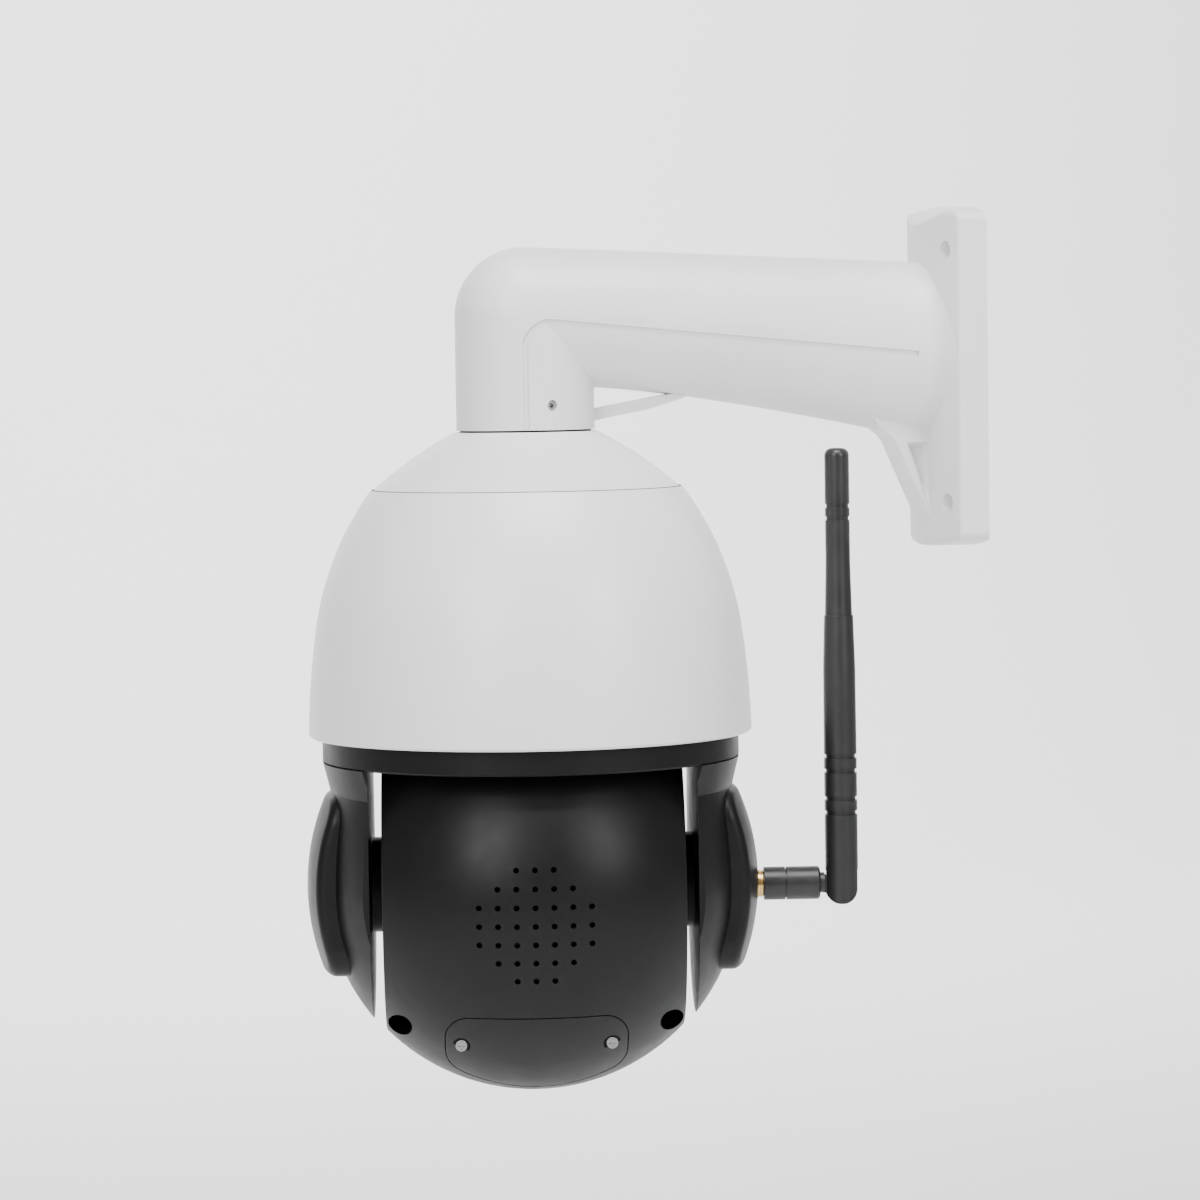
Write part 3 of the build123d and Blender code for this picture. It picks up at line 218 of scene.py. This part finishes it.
def circuit_board():
    """Green solder mask over copper tracks."""
    finish = Finish("circuit_board", (0.012, 0.10, 0.045), 0.3, Specular_IOR_Level=0.6)
    tracks = finish.nodes.new("ShaderNodeTexBrick")
    tracks.inputs["Scale"].default_value = 210.0
    tracks.inputs["Mortar Size"].default_value = 0.035
    tracks.inputs["Color1"].default_value = (0, 0, 0, 1)
    tracks.inputs["Color2"].default_value = (0.35, 0.35, 0.35, 1)
    tracks.inputs["Mortar"].default_value = (1, 1, 1, 1)
    finish.links.new(finish.place, tracks.inputs["Vector"])
    finish.tint(tracks.outputs["Color"], (0.03, 0.20, 0.085), 0.8)
    finish.relief(finish.noise(500, 2), 0.00003, 0.3)
    return finish.material


def clear_glass(name, color, roughness, clear_share, bend=1.5):
    """Clear moulding or coated glass; a lower bend stands for an anti-reflection coating."""
    finish = Finish(name, color, roughness, Transmission_Weight=clear_share, IOR=bend)
    finish.polish(finish.noise(60, 3), roughness * 0.7, roughness * 1.6)
    return finish.material


def lens_glass():
    """Deep coated lens: dark blue body under a glossy violet coat."""
    finish = Finish(
        "lens_glass", (0.006, 0.007, 0.020), 0.12, Coat_Weight=1.0, Coat_Roughness=0.02,
        Coat_Tint=(0.62, 0.50, 0.95, 1.0),
    )
    finish.tint(finish.noise(35, 2), (0.016, 0.006, 0.030), 0.8)
    return finish.material


MATERIALS = {
    "white_coat": white_powder_coat(),
    "white_shell": white_moulded_plastic(),
    "black_shell": black_moulded_plastic(),
    "aerial_plastic": aerial_plastic(),
    "brass": turned_metal("turned_brass", (0.83, 0.60, 0.27), 0.22, 900),
    "pinion_brass": turned_metal("hobbed_brass", (0.72, 0.53, 0.25), 0.3, 1200),
    "screw_steel": turned_metal("screw_steel", (0.40, 0.40, 0.41), 0.24, 1500),
    "motor_steel": turned_metal("motor_steel", (0.55, 0.55, 0.57), 0.35, 700),
    "cast_metal": turned_metal("cast_metal", (0.62, 0.63, 0.65), 0.45, 400),
    "gear_plastic": plain_plastic("acetal", (0.80, 0.79, 0.72), 0.35, 1200),
    "seal_rubber": plain_plastic("seal_rubber", (0.012, 0.012, 0.013), 0.7, 1800),
    "board_green": circuit_board(),
    "module_plastic": plain_plastic("module_plastic", (0.016, 0.016, 0.018), 0.45, 1600),
    "lens_glass": lens_glass(),
    "window_tint": clear_glass("window_tint", (0.62, 0.63, 0.66), 0.006, 1.0, 1.16),
    "lamp_lens": clear_glass("lamp_lens", (0.85, 0.82, 0.88), 0.06, 0.7, 1.45),
    "lamp_yellow": plain_plastic("phosphor", (0.80, 0.66, 0.16), 0.4, 900),
}


def dress_nodes():
    """Gives every CAD node the finish of its slot."""
    for subpart in frame["record"]["subparts"]:
        target = nodes[subpart["node"]]
        material = MATERIALS[subpart["material_slot"]]
        if not target.material_slots:
            target.data.materials.append(material)
        for slot in target.material_slots:
            slot.material = material


# pieces built round the frame
HEAD_TURN = Matrix((TILT_AXIS, LENS_WAY, UP)).transposed().to_4x4()
HEAD = Matrix.Translation((PAN.x, PAN.y, 0.0)) @ HEAD_TURN
LENS_AXIS = HEAD @ Vector((0.0, 0.0, BALL.z))
AERIAL_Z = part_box("jack_nut")[0][2] / 2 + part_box("jack_nut")[1][2] / 2

# sizes in metres, with levels measured from the ball's centre along the lens axis
MASK_LEVEL = 0.0686
MASK_EDGE = 0.0417
MASK_THICK = 0.001
LENS_OPENING = 0.0184
LAMP_CIRCLE = 0.031
SMOOTH_ANGLE = math.radians(34)
MERGE_WITHIN = 0.000002

# each ring of lamps: how many, first angle in degrees, opening in the mask
INFRARED_RING = (8, 22.5, 0.0050)
WHITE_RING = (4, 0.0, 0.0054)

# sections in mm, as (distance along the axis, radius)
INFRARED_CUP = ((68.2, 4.9), (68.2, 4.7), (67.0, 4.45), (64.4, 4.25), (64.4, 4.5), (67.0, 4.7))
WHITE_CUP = ((68.2, 5.3), (68.2, 5.1), (66.5, 4.95), (64.6, 4.7), (64.6, 4.9), (66.5, 5.2))
# section of the dark ring on the seam ledge, a painted shadow line for the seam
SEAM_SECTION = ((0.02, 64.3), (0.02, 64.95), (0.28, 64.95), (0.28, 64.3))

# the hood's stepped inside, from the mask down to the zoom housing
HOOD_FRONT = 68.7
HOOD_RIM = 18.3
HOOD_MOUTH = 17.9
HOOD_THROAT = 13.4
HOOD_TREAD = 0.42
HOOD_RISER = 0.62
HOOD_FLOOR = 66.2
HOOD_BACK = 65.9
HOOD_BACK_RIM = 16.4
HOOD_SHOULDER = 67.2

# the nut's ridges
NUT_ROOT = 5.3
NUT_CREST = 5.8
NUT_RIDGES_AT = 95.6
NUT_PITCH = 0.75
NUT_RIDGES = 2

# floor and backdrop, in metres
FLOOR_DROP = 0.30
FLOOR_FRONT = -2.2
FLOOR_BACK = 2.4
FLOOR_SIDE = -5.0
FLOOR_WIDTH = 10.0
COVE_RADIUS = 1.2
COVE_STEPS = 12
WALL_TOP = 3.4
WORLD_STRENGTH = 0.34


def finish_piece(name, mesh, slot, body, *replaced):
    """Turns a mesh into a named piece that rides on a body and takes a slot's finish."""
    bmesh.ops.remove_doubles(mesh, verts=mesh.verts, dist=MERGE_WITHIN)
    bmesh.ops.recalc_face_normals(mesh, faces=mesh.faces)
    data = bpy.data.meshes.new(name)
    mesh.to_mesh(data)
    mesh.free()
    for face in data.polygons:
        face.use_smooth = True
    data.set_sharp_from_angle(angle=SMOOTH_ANGLE)
    piece = bpy.data.objects.new(name, data)
    bpy.context.scene.collection.objects.link(piece)
    data.materials.append(MATERIALS[slot])
    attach(piece, body)
    if replaced:
        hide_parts(*replaced)
    return piece


def turn_profile(mesh, start, way, profile, segments=96):
    """Turns a closed profile of (distance along the axis, radius), in mm, round an axis."""
    way = Vector(way).normalized()
    side = way.orthogonal().normalized()
    verts = [
        mesh.verts.new(start + way * along / 1000 + side * radius / 1000)
        for along, radius in profile
    ]
    edges = [mesh.edges.new(pair) for pair in zip(verts, verts[1:] + verts[:1])]
    bmesh.ops.spin(
        mesh, geom=verts + edges, cent=start, axis=way, dvec=(0, 0, 0), angle=math.tau,
        steps=segments, use_merge=True, use_normal_flip=False, use_duplicate=False,
    )


def lamp_places(count, turn):
    """Centres of the lamps on their circle, in the plane through the ball's centre."""
    for step in range(count):
        angle = math.radians(turn) + math.tau * step / count
        out = TILT_AXIS * math.cos(angle) + UP * math.sin(angle)
        yield LENS_AXIS + out * LAMP_CIRCLE


def ring_edges(mesh, centre, radius, segments):
    """A circle of edges across the lens axis."""
    verts = []
    for step in range(segments):
        angle = math.tau * step / segments
        out = TILT_AXIS * math.cos(angle) + UP * math.sin(angle)
        verts.append(mesh.verts.new(centre + out * radius))
    return [mesh.edges.new(pair) for pair in zip(verts, verts[1:] + verts[:1])]


def make_lens_mask():
    """Black plate behind the window, open over the lens and every lamp."""
    mesh = bmesh.new()
    level = LENS_WAY * MASK_LEVEL
    edges = ring_edges(mesh, LENS_AXIS + level, MASK_EDGE, 128)
    edges += ring_edges(mesh, LENS_AXIS + level, LENS_OPENING, 96)
    for count, turn, opening in (INFRARED_RING, WHITE_RING):
        for place in lamp_places(count, turn):
            edges += ring_edges(mesh, place + level, opening, 40)
    bmesh.ops.triangle_fill(mesh, use_beauty=True, use_dissolve=False, edges=edges)
    bmesh.ops.solidify(mesh, geom=list(mesh.faces), thickness=MASK_THICK)
    finish_piece("lens_mask", mesh, "module_plastic", "camera_ball")


def make_lamp_cups():
    """Bright cone behind each opening of the mask."""
    mesh = bmesh.new()
    for (count, turn, _), cup in ((INFRARED_RING, INFRARED_CUP), (WHITE_RING, WHITE_CUP)):
        for place in lamp_places(count, turn):
            turn_profile(mesh, place, LENS_WAY, cup, 32)
    finish_piece("lamp_cups", mesh, "screw_steel", "camera_ball")


def make_lens_hood():
    """Stepped light baffle that runs from the lens to the mask."""
    mesh = bmesh.new()
    steps = [(HOOD_FRONT, HOOD_RIM), (HOOD_FRONT, HOOD_MOUTH)]
    radius, along = HOOD_MOUTH, HOOD_FRONT
    while radius > HOOD_THROAT:
        along -= HOOD_TREAD
        steps.append((along, radius))
        radius -= HOOD_RISER
        steps.append((along, radius))
    steps = [(max(along, HOOD_FLOOR), radius) for along, radius in steps]
    steps += [(HOOD_BACK, radius), (HOOD_BACK, HOOD_BACK_RIM), (HOOD_SHOULDER, HOOD_RIM)]
    turn_profile(mesh, LENS_AXIS, LENS_WAY, steps, 128)
    finish_piece("lens_hood", mesh, "module_plastic", "camera_ball")


def make_aerial_nut():
    """Ridged brass nut between the ear cover and the aerial's collar."""
    mesh = bmesh.new()
    outline = [(94.87, 4.3), (94.87, 5.4), (95.05, 5.85), (95.45, 5.85), (NUT_RIDGES_AT, NUT_ROOT)]
    for ridge in range(NUT_RIDGES):
        rise = NUT_RIDGES_AT + NUT_PITCH * ridge
        outline += [
            (rise + 0.12, NUT_ROOT), (rise + 0.28, NUT_CREST),
            (rise + 0.55, NUT_CREST), (rise + 0.7, NUT_ROOT),
        ]
    outline += [(97.3, 5.2), (97.3, 4.3)]
    turn_profile(mesh, HEAD @ Vector((0.0, 0.0, AERIAL_Z)), TILT_AXIS, outline, 96)
    finish_piece("aerial_nut", mesh, "brass", "turning_head", "jack_nut")


def make_seam_shade_ring():
    """Thin seal-rubber ring on the ledge between the cap and the dome; its dark band is painted shade for the
    shadow line of the seam.
    """
    mesh = bmesh.new()
    start = Vector((PAN.x, PAN.y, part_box("dome_shell")[1][2]))
    turn_profile(mesh, start, UP, SEAM_SECTION, 192)
    finish_piece("seam_shade_ring", mesh, "seal_rubber", "wall_mount")


# floor and light
def make_stage():
    """A pale floor that curves up into a pale backdrop."""
    mesh = bmesh.new()
    profile = [(FLOOR_FRONT, 0.0), (FLOOR_BACK, 0.0)]
    for step in range(1, COVE_STEPS + 1):
        angle = math.radians(90 * step / COVE_STEPS)
        rise = COVE_RADIUS - COVE_RADIUS * math.cos(angle)
        profile.append((FLOOR_BACK + COVE_RADIUS * math.sin(angle), rise))
    profile.append((FLOOR_BACK + COVE_RADIUS, WALL_TOP))
    level = BALL.z - FLOOR_DROP
    row = [mesh.verts.new((FLOOR_SIDE, y, z + level)) for y, z in profile]
    edges = [mesh.edges.new((a, b)) for a, b in zip(row, row[1:])]
    bmesh.ops.extrude_edge_only(mesh, edges=edges)
    for vert in mesh.verts:
        if vert not in row:
            vert.co.x += FLOOR_WIDTH
    bmesh.ops.recalc_face_normals(mesh, faces=mesh.faces)
    data = bpy.data.meshes.new("studio_floor")
    mesh.to_mesh(data)
    mesh.free()
    for face in data.polygons:
        face.use_smooth = True
    floor = bpy.data.objects.new("studio_floor", data)
    bpy.context.scene.collection.objects.link(floor)
    finish = Finish("studio_paper", (0.94, 0.94, 0.94), 0.9)
    finish.polish(finish.noise(8, 2), 0.85, 0.95)
    data.materials.append(finish.material)


def area_light(name, place, target, size, power, size_y=None):
    """A soft rectangular lamp that faces a point."""
    data = bpy.data.lights.new(name, "AREA")
    data.shape = "RECTANGLE"
    data.size = size
    data.size_y = size_y or size
    data.energy = power
    lamp = bpy.data.objects.new(name, data)
    lamp.location = place
    lamp.rotation_euler = (Vector(target) - Vector(place)).to_track_quat("-Z", "Y").to_euler()
    bpy.context.scene.collection.objects.link(lamp)


def make_light():
    """Two tall lamps for the highlights on the ball, one above, one on the backdrop."""
    world = bpy.data.worlds.new("studio_air")
    world.use_nodes = True
    air = world.node_tree.nodes["Background"]
    air.inputs["Color"].default_value = (1.0, 1.0, 1.0, 1.0)
    air.inputs["Strength"].default_value = WORLD_STRENGTH
    bpy.context.scene.world = world
    area_light("key_left", (-1.15, -1.35, 0.62), BALL, 0.5, 21.0, 0.9)
    area_light("fill_right", (0.75, -1.5, 0.60), BALL, 0.5, 17.0, 0.9)
    area_light("top", (-0.15, -0.55, 1.25), (-0.12, 0, -0.02), 1.0, 32.0, 0.8)
    area_light("backdrop_glow", (-0.1, 1.6, 1.7), (-0.1, 3.2, 0.2), 2.6, 150.0, 1.2)


make_camera()
dress_nodes()
make_lens_mask()
make_lamp_cups()
make_lens_hood()
make_aerial_nut()
make_seam_shade_ring()
make_stage()
make_light()
